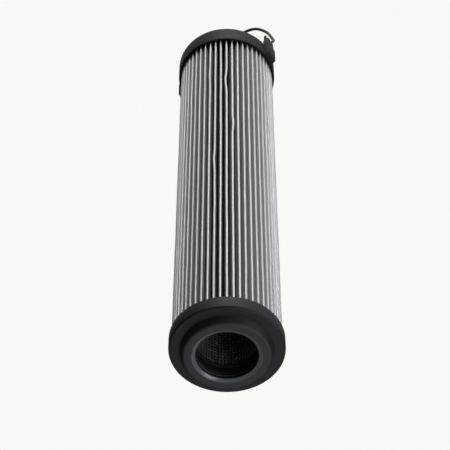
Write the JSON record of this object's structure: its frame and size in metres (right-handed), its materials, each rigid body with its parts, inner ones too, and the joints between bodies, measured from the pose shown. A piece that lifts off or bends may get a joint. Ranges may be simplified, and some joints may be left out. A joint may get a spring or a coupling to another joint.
{
  "type": "hydraulic filter element",
  "caption": "Pleated return-line hydraulic filter element with an open neck cap, a closed cap with a bypass valve, and a wire bail handle.",
  "frame": {"origin": "centre of the neck's end face, on the surface that the element stands on", "axes": "+Z along the element's axis from the neck to the handle end; +X to the right in the picture"},
  "size_m": [0.0998, 0.098, 0.4903],
  "materials": {
    "black_moulding": "moulded glass-filled nylon, satin black",
    "black_rubber": "smooth nitrile rubber",
    "mesh_media": "fine grey wire mesh over glass-fibre fleece, folded",
    "core_steel": "perforated tinned steel",
    "plated_wire": "plated spring wire, dull olive-grey with bright ends",
    "cage_moulding": "moulded nylon",
    "plated_steel": "zinc-plated steel",
    "poppet_metal": "turned aluminium",
    "spring_steel": "drawn spring steel",
    "bush_brass": "turned brass",
    "adhesive": "cast dark epoxy"
  },
  "bodies": {
    "element": {"open_end_cap": "black_moulding", "neck_seal_ring": "black_rubber", "pleated_media_pack": "mesh_media", "core_tube": "core_steel", "handle_end_cap": "black_moulding", "spring_cage": "cage_moulding", "cage_screws": "plated_steel", "bypass_spring": "spring_steel", "stem_bush": "bush_brass", "neck_potting_ring": "adhesive", "handle_potting_ring": "adhesive"},
    "bail": {"bail_handle": "plated_wire"},
    "poppet": {"bypass_poppet": "poppet_metal", "poppet_seal": "black_rubber", "stem_clip": "plated_steel"}
  },
  "joints": [
    {"name": "bail_swing", "type": "hinge", "parent": "element", "child": "bail", "pos_m": [0, 0, 0.444], "axis": [0.8704, -0.4924, 0], "range_deg": [-90, 90]},
    {"name": "bypass_travel", "type": "slide", "parent": "element", "child": "poppet", "axis": [0, 0, -1], "range_m": [0, 0.006], "stiffness_N_per_m": 2500, "springref_m": -0.008, "deforming": ["bypass_spring"]}
  ]
}
